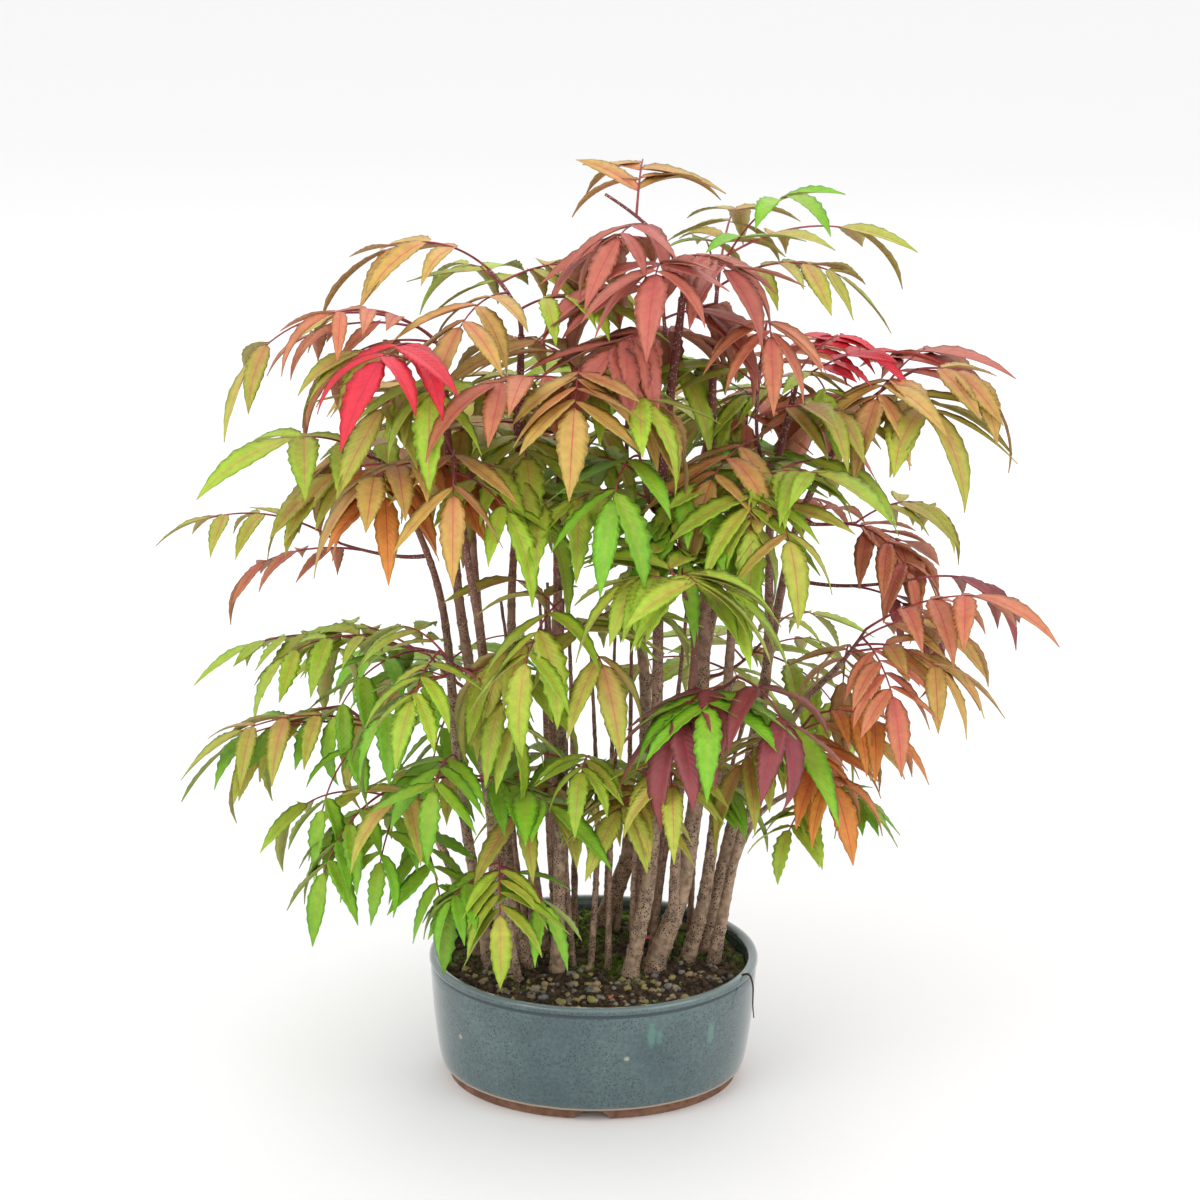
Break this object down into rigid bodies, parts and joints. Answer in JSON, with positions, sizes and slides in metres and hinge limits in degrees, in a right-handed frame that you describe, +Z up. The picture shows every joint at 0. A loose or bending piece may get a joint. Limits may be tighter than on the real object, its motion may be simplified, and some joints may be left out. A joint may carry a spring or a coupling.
{
  "type": "potted japanese wax tree",
  "caption": "Clump of thin leaning stems with feather-shaped leaves in autumn tints, planted in an oval glazed pot filled with soil.",
  "frame": {"origin": "middle of the pot's flat underside", "axes": "+Z up, +X to the right seen from the front, the front faces -Y"},
  "size_m": [0.5456, 0.4489, 0.5923],
  "materials": {
    "glaze": "speckled grey-teal glaze, glossy, with a brown unglazed foot",
    "soil": "dark crumbly potting soil with moss and small pebbles",
    "bark": "grey-brown bark with ridges and ring nodes",
    "leaf_bronze": "bronze autumn leaflets, satin",
    "leaf_crimson": "crimson autumn leaflets, satin",
    "leaf_green": "green autumn leaflets, satin",
    "leaf_lime": "lime autumn leaflets, satin",
    "leaf_maroon": "maroon autumn leaflets, satin",
    "leaf_olive": "olive autumn leaflets, satin",
    "leaf_orange": "orange autumn leaflets, satin",
    "leaf_russet": "russet autumn leaflets, satin",
    "leaf_rust": "rust autumn leaflets, satin"
  },
  "bodies": {
    "root": {"pot": "glaze", "soil": "soil", "stem_low_left": "bark", "stem_outer_left": "bark", "stem_front_left": "bark", "stem_tall_left": "bark", "stem_middle_left": "bark", "stem_middle": "bark", "stem_back_centre": "bark", "stem_main": "bark", "trunk_forked": "bark", "bough_fork_front": "bark", "stem_right": "bark", "stem_tall_right": "bark", "stem_leaning_right": "bark", "stem_slanting_right": "bark", "bough_wavy": "bark", "stem_back_left": "bark", "stem_back_middle": "bark", "stem_back_right": "bark", "sprout_front": "bark", "foliage_crown_top": "leaf_russet", "foliage_crown_front": "leaf_russet", "foliage_upper_left": "leaf_bronze", "foliage_left_arch": "leaf_rust", "foliage_left_red": "leaf_crimson", "foliage_left_orange": "leaf_orange", "foliage_far_left": "leaf_rust", "foliage_left_middle": "leaf_lime", "foliage_left_low": "leaf_olive", "foliage_left_foot": "leaf_green", "foliage_sprout": "leaf_lime", "foliage_low_front": "leaf_olive", "foliage_middle_left": "leaf_lime", "foliage_fork_left": "leaf_bronze", "foliage_centre_left": "leaf_olive", "foliage_middle_front": "leaf_olive", "foliage_centre_top": "leaf_bronze", "foliage_centre": "leaf_green", "foliage_centre_right": "leaf_green", "foliage_front_rosette": "leaf_lime", "foliage_low_middle": "leaf_green", "foliage_low_right": "leaf_green", "foliage_maroon": "leaf_maroon", "foliage_right": "leaf_bronze", "foliage_far_right": "leaf_maroon", "foliage_right_middle": "leaf_rust", "foliage_right_rosette": "leaf_rust", "foliage_right_top": "leaf_olive", "foliage_upper_right": "leaf_bronze", "foliage_red_right": "leaf_crimson", "foliage_middle_right": "leaf_lime", "foliage_low_slant": "leaf_orange", "foliage_bough_end": "leaf_green", "foliage_back_left": "leaf_bronze", "foliage_back_middle": "leaf_olive", "foliage_back_right": "leaf_rust", "foliage_back_centre": "leaf_lime", "foliage_back_low_left": "leaf_green", "foliage_back_low_right": "leaf_lime"}
  },
  "joints": []
}
